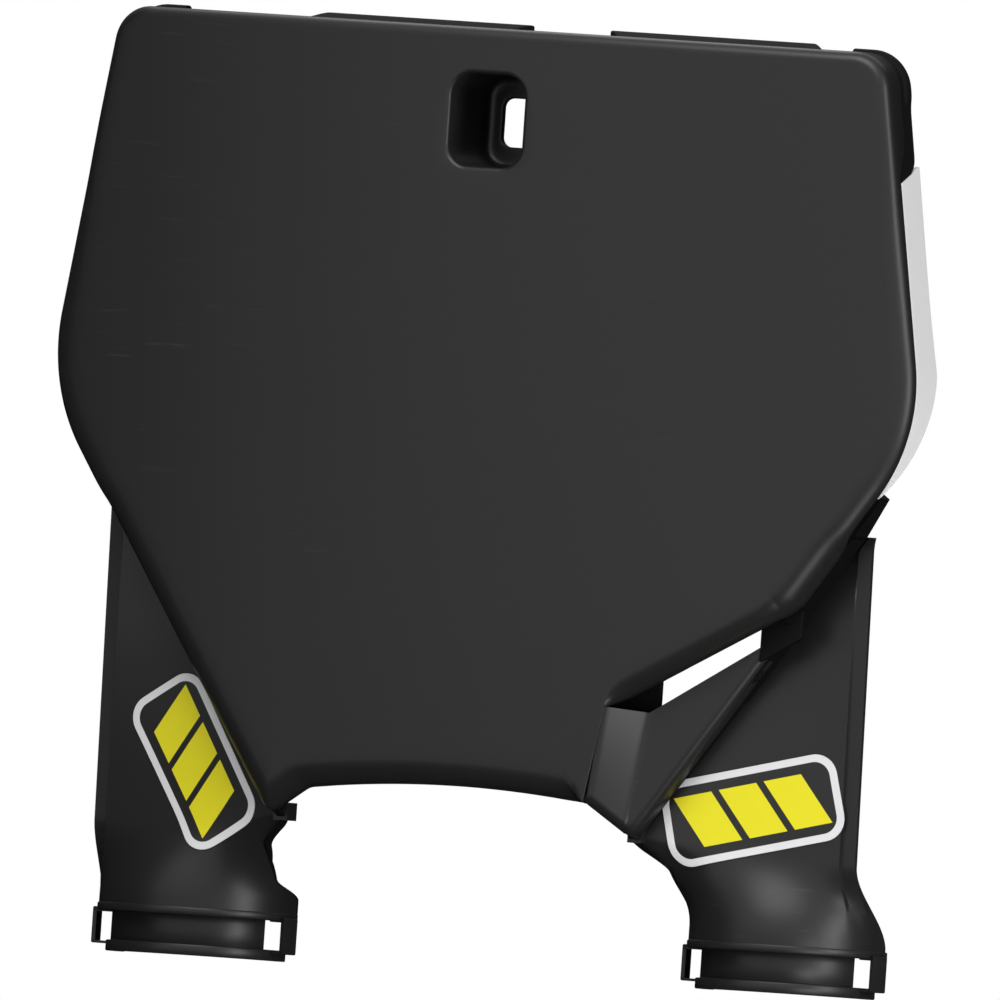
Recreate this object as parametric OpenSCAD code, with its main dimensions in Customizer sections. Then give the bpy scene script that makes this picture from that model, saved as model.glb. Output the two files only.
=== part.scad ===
// Racing number board for a motocross bike: one moulded shell with two fork collars,
// a printed sticker on each leg and a pale panel in the gap of each side wall.
// X runs across the board, Y runs back from the face, Z runs up from the collar lips.
// The origin lies midway between the two fork tubes.

/* [Face] */
// Height of the top edge of the face above the collar lips
face_top = 290; // [260:1:310]
// Half width of the face at its top edge
top_half = 130.3; // [110:0.1:150]
// Half width where the side line and the lower line would cross
wide_half = 148.8; // [130:0.1:165]
// Height where the side line and the lower line would cross
wide_z = 172.3; // [150:0.1:200]
// Half width of the low corners
low_half = 61.4; // [50:0.1:75]
// Height of the low corners
low_z = 45.2; // [40:0.1:60]
// Half width of the shoulders of the arch
arch_half = 49; // [35:0.1:55]
// Height of the shoulders of the arch
arch_z = 53.8; // [50:0.1:65]
// Height of the crown of the arch
crown_z = 57; // [52:0.1:70]
// Rounding of the top corners seen from the front
top_corner_r = 12; // [9:0.5:25]
// Rounding of the wide bends seen from the front
wide_corner_r = 58; // [20:1:80]
// Radius of the bow of the face about an upright axis
face_r = 1200; // [700:10:3000]
// Radius of the rolled edge
roll_r = 7.5; // [5:0.1:9]
// Wall thickness of the shell
wall = 2.4; // [2:0.1:3.5]
// Depth of the straight lip behind the rolled edge
lip = 2.5; // [1.5:0.1:6]

/* [Side walls and top shelf] */
// Depth of the rear edge of the side walls
side_depth = 24; // [20:0.5:40]
// Height where the upper side wall ends
side_cut_z = 257; // [230:1:270]
// Depth of the rear edge of the top shelf
shelf_depth = 58; // [40:0.5:75]
// Half width of the raised rear lip of the shelf
shelf_half = 86; // [60:0.5:100]
// Half width of the shelf where it meets the side walls
shelf_end = 115; // [100:0.5:120]
// Half width of the notch in the raised lip
notch_half = 12.7; // [8:0.1:25]
// Depth of the raised lip, also the run of its sloping ends
flare_run = 6.5; // [4:0.1:10]
// Height of the raised lip
flare_rise = 2.2; // [1:0.1:4]

/* [Strap recess] */
// Width of the recess
recess_w = 25; // [20:0.1:32]
// Height of the recess
recess_h = 28.5; // [20:0.1:36]
// Height of the centre of the recess
recess_z = 261.5; // [240:0.5:268]
// Rounding of the corners of the recess
recess_r = 7; // [3:0.1:10]
// Depth of the front of the rear wall of the recess
recess_depth = 28; // [15:0.5:40]
// Side of the square window in the rear wall
window_w = 15; // [8:0.1:18]

/* [Air duct in the right corner] */
// Half width where the duct mouth meets the lower line
duct_out_x = 111; // [100:0.1:116]
// Half width of the inner end of the duct mouth
duct_in_x = 53.3; // [45:0.1:60]
// Height of the inner end of the duct mouth
duct_in_z = 84.3; // [75:0.1:95]
// Setback of the corner plate below the duct mouth
duct_back = 9; // [6:0.1:12]
// Height of the outer top corner of the corner plate
duct_top_z = 104; // [95:0.5:110]

/* [Legs] */
// Half distance between the fork tubes
fork_half = 100.4; // [85:0.1:110]
// Depth of the axes of the fork tubes behind the face
fork_y = 47.8; // [35:0.1:60]
// Outer radius of the legs at their feet
leg_r = 32; // [30:0.1:36]
// Half width of the outer edges of the legs
leg_out = 129.5; // [120:0.1:140]
// Depth of the leg panels at the low corners of the face
leg_y = 17; // [14:0.1:22]
// Slope of the inner line of the leg panels, back per height
panel_lean = 0.14; // [0:0.005:0.2]
// Depth of the outer edges of the legs above the feet
leg_out_y = 26.5; // [20:0.1:32]
// Slope of the outer line of the leg panels, forward per height
outer_lean = 0.03; // [0:0.005:0.1]
// Width of the stepped border of the leg panels
border_w = 4.6; // [3:0.1:8]
// Drop of the top of the legs below the crossing of the side line and the lower line
leg_drop = 26.3; // [22:0.1:50]

/* [Fork collars] */
// Inner radius of the fork collars
bore_r = 25.5; // [24:0.1:28]
// Outer radius of the strap groove
groove_r = 27.7; // [27:0.1:30]
// Outer radius of the bottom lip
lip_r = 29.1; // [28:0.1:31]
// Height of the bottom lip
lip_h = 3.4; // [2:0.1:5]
// Height of the underside of the foot rim
rim_z = 12.4; // [10:0.1:16]
// Thickness of the foot rim
rim_t = 2.4; // [1.5:0.1:4]
// Inner radius of the strap loops
loop_r = 31.9; // [31:0.1:35]
// Thickness of the strap loops
loop_t = 1.9; // [1.5:0.1:3]
// Angle that a strap loop covers round the fork
loop_turn = 17; // [12:0.5:22]

/* [Stickers and side panels] */
// Length of a sticker
sticker_l = 57; // [40:1:64]
// Width of a sticker
sticker_w = 27; // [20:1:32]
// Thickness of a sticker
sticker_t = 0.5; // [0.2:0.1:1]
// Thickness of the pale side panels
panel_t = 1.6; // [1:0.1:3]
// Depth of the rear edge of the pale side panels
panel_depth = 27; // [22:0.5:35]

/* [Hidden] */
side_slope = (wide_half - top_half) / (face_top - wide_z);
low_slope = (wide_half - low_half) / (wide_z - low_z);
leg_top = wide_z - leg_drop;
face_mid_z = 165;
roll_steps = 4;
face_rings = [0.25, 0.5, 0.75];
// Rounding of the low corners, of the shoulders of the arch and of its crown
low_r = 2.5;
arch_r = 8;
crown_r = 40;
// Shares of the lower line at which a point carries the bow of the face
bow_shares = [0.35, 0.65];
// Points of the outline that end the top corner and the wide bend
top_corner_end = 5;
wide_bend_end = 15;
// Small step that keeps two surfaces from falling together
eps = 0.01;
// Overlap that ties the raised lip to the shelf
bite = 0.6;
// Drop of the shelf's edge outside the raised lip
shelf_ear = 3;
// Heights where the half round foot ends and where the flat panel starts
foot_z = 17;
flat_z = 33;
border_step = 1;
border_return = 1.2;
// Bead round the rear edge of the top corner: height, width, and run past the rounding
bead = 1.2;
bead_w = 4;
bead_back = 0.6;
bead_run = 2;
// Step that keeps an added wall just inside the wall it continues
inset = 0.15;
// Turns at which the strap loops and the windows behind them start
loop_starts = [-179.5, -17.5];
window_starts = [-182, -20];
window_turn = 22;
// Tab at the low corner of the face: width, depth and height
tab_size = [4.6, 7, 5.5];
// Clearance of the side panels, and how far their tongue reaches under the lip
panel_gap = 0.1;
tongue = 4;
// Drop of the top of the side panels below the end of the upper wall
panel_drop = 10;
// Middle of the leg panels, and the place of each sticker from it and from the low corners
leg_mid = (low_half + leg_out) / 2;
sticker_left_at = [-1.45, 14.3];
sticker_right_at = [1.05, 10.3];
sticker_r = 7;

// Depth of the bowed face at half width x.
function face_y(x) = x * x / (2 * face_r);

// Half width of the side line and of the lower line at height z.
function side_x(z) = top_half + side_slope * (face_top - z);
function low_x(z) = low_half + low_slope * (z - low_z);

function unit(v) = v / norm(v);

// Corners of the right half of the outline, top to crown: x, z, rounding radius, steps of the arc.
// Points with no rounding only carry the bow of the face along a straight line.
right_corners = concat(
    [[top_half, face_top, top_corner_r, top_corner_end], [wide_half, wide_z, wide_corner_r, 9]],
    [for (k = bow_shares) [low_half + (wide_half - low_half) * (1 - k), low_z + (wide_z - low_z) * (1 - k), 0, 0]],
    [[low_half, low_z, low_r, 3], [arch_half, arch_z, arch_r, 3],
        [arch_half / 2, (arch_z + 3 * crown_z) / 4, crown_r, 1]]);
corners = concat(
    right_corners,
    [for (i = [len(right_corners) - 1 : -1 : 0]) let(c = right_corners[i]) [-c.x, c.y, c.z, c[3]]],
    [for (k = [-4 : 4]) [top_half * k / 5, face_top, 0, 0]]);

// Outline rounded at its corners and moved inwards by d.
function outline(d) = let(n = len(corners)) [for (i = [0 : n - 1])
    let(p = [corners[i].x, corners[i].y],
        a = [corners[(i + n - 1) % n].x, corners[(i + n - 1) % n].y],
        b = [corners[(i + 1) % n].x, corners[(i + 1) % n].y],
        u = unit(p - a), v = unit(b - p),
        nu = [-u.y, u.x], nv = [-v.y, v.x],
        turn = u.y * v.x - u.x * v.y,
        q = p - d * (nu + nv) / (1 + nu * nv),
        r = turn > 0 ? max(corners[i].z - d, 0.4) : corners[i].z + d,
        side = turn > 0 ? 1 : -1,
        ang = acos(min(u * v, 1)),
        tan_len = r * tan(ang / 2),
        start = q - u * tan_len,
        hub = start - nu * r * side,
        steps = corners[i][3])
    for (k = [0 : steps])
        let(t = -side * ang * k / max(steps, 1), w = nu * side)
        hub + r * [w.x * cos(t) - w.y * sin(t), w.x * sin(t) + w.y * cos(t)]];

// One ring of the shell: outline moved inwards by d, scaled about the face middle, at depth y.
function ring(d, scale, y) = [for (p = outline(d))
    let(x = p.x * scale, z = face_mid_z + (p.y - face_mid_z) * scale)
    [x, face_y(x) + y, z]];

// Closed skin over rings of equal length, capped by a fan about the points c0 and c1.
module ringed(rings, c0, c1) {
    n = len(rings[0]);
    m = len(rings);
    polyhedron(concat([for (r = rings) each r], [c0, c1]), concat(
        [for (j = [0 : m - 2], i = [0 : n - 1]) let(a = j * n + i, b = j * n + (i + 1) % n)
            each [[a, a + n, b], [b, a + n, b + n]]],
        [for (i = [0 : n - 1]) [n * m, i, (i + 1) % n]],
        [for (i = [0 : n - 1]) [n * m + 1, (m - 1) * n + (i + 1) % n, (m - 1) * n + i]]));
}

// Bowed face with its rolled edge and short lip, as an outer and an inner skin.
module pan() {
    inner_r = roll_r - wall;
    turns = [for (k = [0 : roll_steps]) 90 * k / roll_steps];
    ringed(concat(
        [for (s = face_rings) ring(roll_r, s, 0)],
        [for (t = turns) ring(roll_r * (1 - sin(t)), 1, roll_r * (1 - cos(t)))],
        [ring(0, 1, roll_r + lip), ring(wall, 1, roll_r + lip)],
        [for (k = [roll_steps : -1 : 0]) let(t = turns[k])
            ring(wall + inner_r * (1 - sin(t)), 1, wall + inner_r * (1 - cos(t)))],
        [for (i = [len(face_rings) - 1 : -1 : 0]) ring(roll_r, face_rings[i], wall)]),
        [0, 0, face_mid_z], [0, wall, face_mid_z]);
}

// Flat polygon of points in space, thickened along the vector v.
module slab(poly, v) {
    n = len(poly);
    p = cross(poly[1] - poly[0], poly[2] - poly[1]) * v > 0 ? poly
        : [for (i = [n - 1 : -1 : 0]) poly[i]];
    polyhedron(concat(p, [for (q = p) q + v]), concat(
        [[for (i = [0 : n - 1]) i]],
        [[for (i = [n - 1 : -1 : 0]) n + i]],
        [for (i = [0 : n - 1]) [i, i + n, (i + 1) % n + n, (i + 1) % n]]));
}

// Polygon drawn in x and z, carried back from depth y0 to depth y1.
module deep(y0, y1) {
    translate([0, y1, 0]) rotate([90, 0, 0]) linear_extrude(y1 - y0) children();
}

// Rounded rectangle about the origin.
function rounded(w, h, r) = [for (q = [0 : 3], k = [0 : 5])
    let(sx = (q == 0 || q == 3) ? 1 : -1, sy = q < 2 ? 1 : -1, a = 90 * q + 18 * k)
    [sx * (w / 2 - r) + r * cos(a), sy * (h / 2 - r) + r * sin(a)]];

// Top shelf with its raised, notched rear lip.
module shelf() {
    top = face_top - inset;
    translate([0, 0, top - wall]) linear_extrude(wall)
        polygon([[-shelf_end, roll_r + face_y(shelf_end)], [-shelf_end, side_depth],
            [-shelf_half - shelf_ear, shelf_depth - flare_run], [shelf_half + shelf_ear, shelf_depth - flare_run],
            [shelf_end, side_depth], [shelf_end, roll_r + face_y(shelf_end)],
            [0, roll_r]]);
    for (s = [-1, 1]) {
        y0 = shelf_depth - flare_run;
        x0 = s * notch_half;
        x1 = s * (shelf_half - flare_run / 2);
        low = [[x0 + s * flare_run, y0 - bite, top - wall], [x1 + s * flare_run, y0 - bite, top - wall],
            [x1, shelf_depth, top - wall + flare_rise], [x0, shelf_depth, top - wall + flare_rise]];
        slab(low, [0, 0, wall - eps]);
    }
}

// Band of the outline between the insets d0 and d1, from its points i0 to i1, with end points added.
function band(d0, d1, i0, i1, lead, tail) = let(o = outline(d0), p = outline(d1)) concat(
    [for (q = lead(d0)) q], [for (i = [i0 : i1]) o[i]], [for (q = tail(d0)) q],
    [for (q = tail(d1)) q], [for (i = [i1 : -1 : i0]) p[i]], [for (q = lead(d1)) q]);

// Right wall behind the top corner, with a bead around the corner and a sloped lower end.
module upper_wall() {
    y0 = face_y(top_half) + roll_r;
    side = function(z) function(d) [[side_x(z) - d * norm([1, side_slope]), z]];
    top = function(x) function(d) [[x, face_top - d]];
    ends = top_corner_r + bead_run;
    deep(y0, side_depth)
        polygon(band(inset, wall - inset, 0, top_corner_end, top(shelf_end - 3), side(side_cut_z)));
    deep(side_depth - bead_w, side_depth + bead_back)
        polygon(band(-bead, wall - 0.5, 0, top_corner_end, top(top_half - ends), side(face_top - ends)));
    // Profile of the sloped end: height from the cut, and depth
    profile = [[2, y0], [2, side_depth - 1.6], [-1, side_depth - bead_back], [-7, y0 + lip], [-9, y0]];
    slab([for (q = profile) let(z = side_cut_z + q.x) [side_x(z) - inset * 2 - wall, q.y, z]],
        [wall - inset, 0, 0]);
}

// Depth of the leg panel front at x, z: ruled between the inner and the outer line of the leg.
function panel_y(x, z) = let(
        x0 = leg_in(z),
        y0 = min(leg_y + panel_lean * (z - low_z), leg_out_y - 1),
        y1 = leg_out_y - outer_lean * (z - flat_z))
    y0 + (y1 - y0) * min((x - x0) / max(leg_out - x0, 4), 1);

// Blend from the half round foot, 1, to the flat panel, 0.
function blend(z) = let(t = min(max((z - foot_z) / (flat_z - foot_z), 0), 1)) 1 - t * t * (3 - 2 * t);

leg_rows = concat([rim_z + 0.3, rim_z + rim_t + 0.6], [for (k = [0 : 6]) foot_z + (flat_z - foot_z) * k / 6],
    [low_z - 3, low_z + 2], [for (k = [1 : 4]) low_z + (leg_top - low_z) * k / 4]);
leg_cols = 10;
foot_turn = 178 / 12;

// Half width where the leg panel starts and where its border starts at height z.
function leg_in(z) = (z < low_z ? low_half : low_x(z)) - inset;
function leg_edge(z) = max(leg_out, low_x(z) + 2);

// Point of a leg row: column i, flat position x and extra depth y.
function leg_point(i, x, y, z) = let(k = blend(z), a = 1 + foot_turn * i)
    [k * (fork_half - leg_r * cos(a)) + (1 - k) * x, k * (fork_y - leg_r * sin(a)) + (1 - k) * y, z];

// Front of the leg at height z: wall from the pan, panel, stepped border and its return.
function leg_row(z) = let(
        x0 = leg_in(z),
        x1 = leg_edge(z),
        x2 = max(leg_out - border_w, x0 + 0.8),
        first = leg_point(0, x0, panel_y(x0, z), z),
        rise = z > low_z + 1 ? panel_y(x0, z) - roll_r - face_y(x0) - lip / 2 : 1.2,
        edge = panel_y(x1, z))
    concat([first - rise * [sin(180 * blend(z)), cos(180 * blend(z)), 0]],
        [for (i = [0 : leg_cols]) let(x = x0 + (x2 - x0) * i / leg_cols) leg_point(i, x, panel_y(x, z), z)],
        [leg_point(10.25, x2 + 0.3, edge + border_step - 0.4, z),
            leg_point(11.2, x1, edge + border_step, z),
            leg_point(12, x1 + 0.2, edge + border_step + border_return, z)]);

// Outward facing direction of a row of points, worked out in plan.
function row_normal(r, i) = let(n = len(r), a = r[max(i - 1, 0)], b = r[min(i + 1, n - 1)],
    d = unit([b.x - a.x, b.y - a.y])) [d.y, -d.x, 0];

// Right leg as one closed skin, thickness taken inwards.
module leg() {
    rows = [for (z = leg_rows) leg_row(z)];
    back = [for (r = rows) [for (i = [0 : len(r) - 1]) r[i] - wall * row_normal(r, i)]];
    n = len(rows[0]);
    m = len(rows);
    o = n * m;
    polyhedron([for (r = concat(rows, back)) each r], concat(
        [for (j = [0 : m - 2], i = [0 : n - 2]) let(a = j * n + i)
            each [[a, a + n, a + 1], [a + 1, a + n, a + n + 1]]],
        [for (j = [0 : m - 2], i = [0 : n - 2]) let(a = o + j * n + i)
            each [[a, a + 1, a + n], [a + 1, a + n + 1, a + n]]],
        [for (j = [0 : m - 2]) let(a = j * n, b = (j + 1) * n)
            each [[a, o + a, b], [o + a, o + b, b]]],
        [for (j = [0 : m - 2]) let(a = j * n + n - 1, b = (j + 1) * n + n - 1)
            each [[a, b, o + a], [o + a, b, o + b]]],
        [for (i = [0 : n - 2]) each [[i, i + 1, o + i], [i + 1, o + i + 1, o + i]]],
        [for (i = [0 : n - 2]) let(a = (m - 1) * n + i) each [[a, o + a, a + 1], [a + 1, o + a, o + a + 1]]]));
}

// Part of a ring about a fork axis, from angle a0 to a1, seen from above.
module arc_ring(r0, r1, z0, z1, a0, a1) {
    translate([fork_half, fork_y, z0]) rotate([0, 0, a0])
        rotate_extrude(angle = a1 - a0, $fn = 96) translate([r0, 0]) square([r1 - r0, z1 - z0]);
}

// Half round fork collar: one turned section, opened towards both ends, with its strap loops.
module collar() {
    difference() {
        translate([fork_half, fork_y, 0]) rotate([0, 0, -180]) rotate_extrude(angle = 180, $fn = 96)
            polygon([[bore_r, 0], [lip_r, 0], [lip_r, lip_h], [groove_r, lip_h], [groove_r, rim_z],
                [leg_r + 0.4, rim_z], [leg_r + 0.4, rim_z + rim_t], [bore_r, rim_z + rim_t]]);
        for (a = window_starts)
            arc_ring(bore_r - 2, groove_r + 0.6, lip_h, rim_z, a, a + window_turn);
    }
    for (a = loop_starts) difference() {
        arc_ring(lip_r - 1, loop_r + loop_t, lip_h - 1.8, rim_z + 1, a, a + loop_turn);
        arc_ring(lip_r - 3, loop_r, lip_h - 0.4, rim_z - 0.4, a - 2, a + loop_turn + 2);
    }
}

// Strap recess behind the face.
module recess_outer() {
    translate([0, 0, recess_z]) deep(wall / 2, recess_depth + wall)
        polygon(rounded(recess_w + 2 * wall, recess_h + 2 * wall, recess_r + wall));
}

module recess_cut() {
    translate([0, 0, recess_z]) deep(-5, recess_depth) polygon(rounded(recess_w, recess_h, recess_r));
    translate([0, 0, recess_z]) deep(recess_depth - 1, recess_depth + wall + 1)
        polygon(rounded(window_w, window_w, 3));
}

// Corner plate of the duct: low corner, inner top and outer top.
duct_low = [low_half - 0.4, duct_back - 1.5, low_z - 0.4];
duct_in = [duct_in_x + 10.3, duct_back + 3, duct_in_z - 1];
duct_out = [low_x(duct_top_z) - 0.4, duct_back + 6, duct_top_z];
function duct_out_z() = low_z + (duct_out_x - low_half) / low_slope;

// Region in front of the corner plate that the duct takes from the face.
module duct_cut() {
    k = duct_in - duct_low;
    away = duct_out - duct_low;
    up = duct_low + (k + away) * 1.6;
    slab([duct_low + [-0.1, 0, -0.2] - away * 0.3, duct_low + away * 1.6, up, duct_low + k * 1.6 - [0.1, 0, 0],
        duct_low - [0.2, 0.1, 0.2] ], [0, -40, 0]);
}

module duct_keep() {
    deep(-10, 60) polygon([[duct_out_x + 30, duct_out_z() + 5], [duct_out_x - 1, duct_out_z() - 0.5],
        [duct_in_x, duct_in_z], [arch_half - 1, arch_z + 0.4], [arch_half, low_z - 30], [duct_out_x + 30, low_z - 30]]);
}

// Slanted step, set back corner plate, roof and end wall of the duct.
module duct() {
    a = [duct_in_x, face_y(duct_in_x) + eps, duct_in_z];
    b = [arch_half - 1, face_y(arch_half) + eps, arch_z + 0.4];
    // Thickness of the three plates, taken back along the top edge of the corner plate
    top_edge = duct_out - duct_in;
    back = [-wall / 2, wall, -wall / 2 * top_edge.z / top_edge.x];
    slab([a, b, duct_low], back);
    slab([a, duct_low, duct_in], back);
    slab([duct_in, duct_low, duct_out - [1, 0, 0]], back);
    m0 = [duct_in_x - 0.5, duct_in_z - 0.4];
    m1 = [duct_out_x - 0.6, duct_out_z()];
    k = unit([m0.y - m1.y, m1.x - m0.x]) * wall;
    deep(face_y(duct_out_x) + 0.8, side_depth - 4) polygon([m0, m1, m1 + k, m0 + k]);
    y = duct_in.y + 3;
    slab([[duct_in_x - 0.4, y, duct_in_z + 6], [duct_in_x - 0.4, y, duct_in_z - 18],
        [duct_in_x + 12, y, duct_in_z - 18], [duct_in_x + 12, y, duct_in_z + 10]], [0, wall, 0]);
}

// Small tab on the inner edge of a leg, just behind the low corner of the face.
module tab() {
    translate([low_half - tab_size.x + 1.2, leg_y - 3, low_z - 2]) cube(tab_size);
}

module half_frame() {
    leg();
    collar();
    tab();
}

module plate() {
    color([0.17, 0.17, 0.17]) {
        difference() {
            union() {
                pan();
                half_frame();
                recess_outer();
            }
            intersection() {
                duct_cut();
                duct_keep();
            }
            recess_cut();
        }
        mirror([1, 0, 0]) half_frame();
        duct();
        shelf();
        for (s = [0, 1]) mirror([s, 0, 0]) upper_wall();
    }
}

// Pale panel of the right side: a band flush with the lip and a tongue seated inside it.
module side_panel() {
    side = function(z) function(d) [[side_x(z) - d * norm([1, side_slope]), z]];
    none = function(d) [];
    y0 = face_y(wide_half) + roll_r + lip + panel_gap;
    i0 = top_corner_end + 1;
    top = side(side_cut_z - panel_drop);
    color([0.87, 0.87, 0.87]) {
        deep(y0, panel_depth) polygon(band(panel_gap, wall + 0.4, i0, wide_bend_end, top, none));
        deep(y0 - tongue, y0 + 3)
            polygon(band(wall + panel_gap, wall + panel_gap + panel_t, i0, wide_bend_end, top, none));
    }
}

// Sticker lying on a leg panel, turned by a degrees about its middle x, z.
module sticker(x, z, a, l) {
    function place(s, d) = [for (p = rounded(l, sticker_w, sticker_r))
        let(u = x + s * (p.x * cos(a) - p.y * sin(a)), w = z + s * (p.x * sin(a) + p.y * cos(a)))
        [u, panel_y(u, w) - d, w]];
    rings = concat([for (s = [0.33, 0.66, 1]) place(s, sticker_t)],
        [for (s = [1, 0.66, 0.33]) place(s, 0.02)]);
    color([0.78, 0.78, 0.78])
        ringed([for (r = rings) [for (i = [len(r) - 1 : -1 : 0]) r[i]]],
            [x, panel_y(x, z) - sticker_t, z], [x, panel_y(x, z) - 0.02, z]);
}

// Moves a piece from the face to the line between the fork tubes.
module at_forks() { translate([0, -fork_y, 0]) children(); }

at_forks() plate();
at_forks() mirror([1, 0, 0]) side_panel();  // panel_left
at_forks() side_panel();  // panel_right
module sticker_left() {
    mirror([1, 0, 0]) sticker(leg_mid + sticker_left_at.x, low_z + sticker_left_at.y, 57, sticker_l - 4);
}

module sticker_right() { sticker(leg_mid + sticker_right_at.x, low_z + sticker_right_at.y, 14, sticker_l); }

at_forks() sticker_left();
at_forks() sticker_right();
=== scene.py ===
# Looks of a racing number board for a motocross bike: a bowed board moulded in matte black
# plastic with two fork legs, a strap recess and an air duct, a printed film on each leg and
# a pale panel in each side wall. Sizes are in millimetres, measured from the front of the face.
import math

import bpy
import numpy as np
from mathutils import Matrix, Vector


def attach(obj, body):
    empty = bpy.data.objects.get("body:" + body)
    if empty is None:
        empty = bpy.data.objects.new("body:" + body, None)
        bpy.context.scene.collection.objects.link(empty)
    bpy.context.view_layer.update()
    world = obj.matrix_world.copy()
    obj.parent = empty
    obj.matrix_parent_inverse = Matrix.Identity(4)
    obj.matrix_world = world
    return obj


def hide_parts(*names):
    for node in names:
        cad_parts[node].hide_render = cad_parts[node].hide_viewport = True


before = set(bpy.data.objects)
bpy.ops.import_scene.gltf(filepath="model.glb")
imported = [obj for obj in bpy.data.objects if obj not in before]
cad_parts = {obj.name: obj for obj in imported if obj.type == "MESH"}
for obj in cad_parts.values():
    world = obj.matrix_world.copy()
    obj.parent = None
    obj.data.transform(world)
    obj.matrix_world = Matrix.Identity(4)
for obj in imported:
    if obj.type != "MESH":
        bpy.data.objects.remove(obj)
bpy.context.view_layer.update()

# Camera: 25 degrees to the right of the board and level with it, the board tilted in the frame.
AZIMUTH, ELEVATION, TILT = math.radians(25.44), math.radians(-0.4), math.radians(3.885)
FRAME_WIDTH = 0.307
FRAME_CENTRE = Vector((0.0002, -0.0194, 0.1457))
CAMERA_DISTANCE = 1.5


def direction(azimuth, elevation):
    """Unit vector from the board towards a place at an azimuth to its right and an elevation, in radians."""
    level_part = math.cos(elevation)
    return Vector((math.sin(azimuth) * level_part, -math.cos(azimuth) * level_part, math.sin(elevation)))


back = direction(AZIMUTH, ELEVATION)
right = Vector((math.cos(AZIMUTH), math.sin(AZIMUTH), 0))
up = back.cross(right)
camera = bpy.data.objects.new("camera", bpy.data.cameras.new("camera"))
camera.data.type = "ORTHO"
camera.data.ortho_scale = FRAME_WIDTH
camera.data.clip_start, camera.data.clip_end = 0.01, 20
picture_x = right * math.cos(TILT) + up * math.sin(TILT)
picture_y = up * math.cos(TILT) - right * math.sin(TILT)
turn = Matrix((picture_x, picture_y, back)).transposed().to_4x4()
camera.matrix_world = Matrix.Translation(FRAME_CENTRE + back * CAMERA_DISTANCE) @ turn
bpy.context.scene.collection.objects.link(camera)
bpy.context.scene.camera = camera

# Board
FACE_TOP, TOP_HALF, WIDE_HALF, WIDE_Z = 290.0, 130.3, 148.8, 172.3
LOW_HALF, LOW_Z, ARCH_HALF, ARCH_Z, CROWN_Z = 61.4, 45.2, 49.0, 53.8, 57.0
TOP_CORNER_R, WIDE_CORNER_R = 12.0, 58.0
FACE_R, ROLL_R, WALL, LIP = 1200.0, 7.5, 2.4, 2.5
# The roll is tight along the top, grows on the way down, is small over the duct and almost none on the step
TOP_ROLL_R, ROLL_GROWS_Z, ROLL_GROWTH, DUCT_ROLL_R, STEP_ROLL_R = 3.4, 262.0, 75.0, 5.6, 0.3
STEP_LOW_X, STEP_LOW_Z = ARCH_HALF - 1, ARCH_Z + 0.4
SIDE_DEPTH, SIDE_CUT_Z, SHELF_DEPTH, SHELF_HALF, SHELF_END = 24.0, 257.0, 58.0, 86.0, 115.0
NOTCH_HALF, FLARE_RUN, FLARE_RISE = 12.7, 6.5, 2.2
BEAD_RISE, BEAD_HALF, BEAD_LOW_Z, WALL_END_RUN = 1.2, 2.2, 272.0, 9.0
RECESS_W, RECESS_H, RECESS_Z, RECESS_R, RECESS_DEPTH, WINDOW_W = 25.0, 28.5, 261.5, 7.0, 28.0, 15.0
WINDOW_R, MOUTH_R, FLOOR_R = 3.0, 1.5, 2.4
# Duct
DUCT_OUT_X, DUCT_IN_X, DUCT_IN_Z, DUCT_TOP_Z = 111.0, 53.3, 84.3, 104.0
PLATE_ROLL_R, PLATE_LIP, PLATE_T, FOLD_TOP_X, FOLD_LOW_X, FOLD_LOW_Z = 3.4, 3.0, 1.8, 63.6, 61.0, 44.8
MOUTH_END_X, DUCT_END_Y = 98.0, 15.0
# Legs and collars
FORK_HALF, FORK_Y, LEG_R, LEG_OUT = 100.4, 47.8, 32.0, 129.5
LEG_Y, PANEL_LEAN, LEG_OUT_Y, OUTER_LEAN, BORDER_W, LEG_TOP = 17.0, 0.14, 26.5, 0.03, 4.6, 141.5
BORDER_STEP, BORDER_RETURN = 1.0, 1.2
LEG_WALL_TOP, LEG_WALL_REAR, LEG_WALL_TAPER = 153.5, 25.0, 3.5
# Heights between which the half round foot turns into the flat panel, at the inner and the outer edge
FOOT_IN_Z, FLAT_IN_Z, FOOT_OUT_Z, FLAT_OUT_Z = 20.0, 46.0, 15.0, 40.0
BORE_R, GROOVE_R, LIP_R, LIP_H, RIM_Z, RIM_T, LOOP_R, LOOP_T = 25.5, 27.7, 29.1, 3.4, 12.4, 2.4, 32.8, 1.2
LOOP_ANGLES, LOOP_SPAN = (-175, -17), 12
# Films: place of the middle in x and z, turn in degrees and length
FILM_L, FILM_W, FILM_T, FILM_R = 57.0, 27.0, 0.5, 7.0
RIGHT_FILM, LEFT_FILM = (96.5, 55.5, 14, FILM_L), (94, 59.5, 57, FILM_L - 4)
# Side panels
PANEL_T, PANEL_DEPTH, PANEL_TOP_Z, PANEL_START, PANEL_END_Z = 1.6, 27.0, 250.5, 5.2, 139.0
PANEL_SLOPE, PANEL_BELLY, BELLY_REACH, TAPER_RUN = 5.5, 2.6, 26.0, 40.0

SIDE_SLOPE = (WIDE_HALF - TOP_HALF) / (FACE_TOP - WIDE_Z)
LOW_SLOPE = (WIDE_HALF - LOW_HALF) / (WIDE_Z - LOW_Z)
DUCT_OUT_Z = LOW_Z + (DUCT_OUT_X - LOW_HALF) / LOW_SLOPE


def face_y(x):
    """Depth of the bowed face: half the square of the half width over the bow radius."""
    return np.asarray(x) ** 2 / (2 * FACE_R)


def low_x(z):
    return LOW_HALF + LOW_SLOPE * (np.asarray(z, float) - LOW_Z)


def side_x(z):
    return TOP_HALF + SIDE_SLOPE * (FACE_TOP - np.asarray(z, float))


def smooth(t):
    """Cubic ease from 0 to 1: three squares less two cubes of the clamped value."""
    t = np.clip(t, 0, 1)
    return t * t * (3 - 2 * t)


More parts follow.
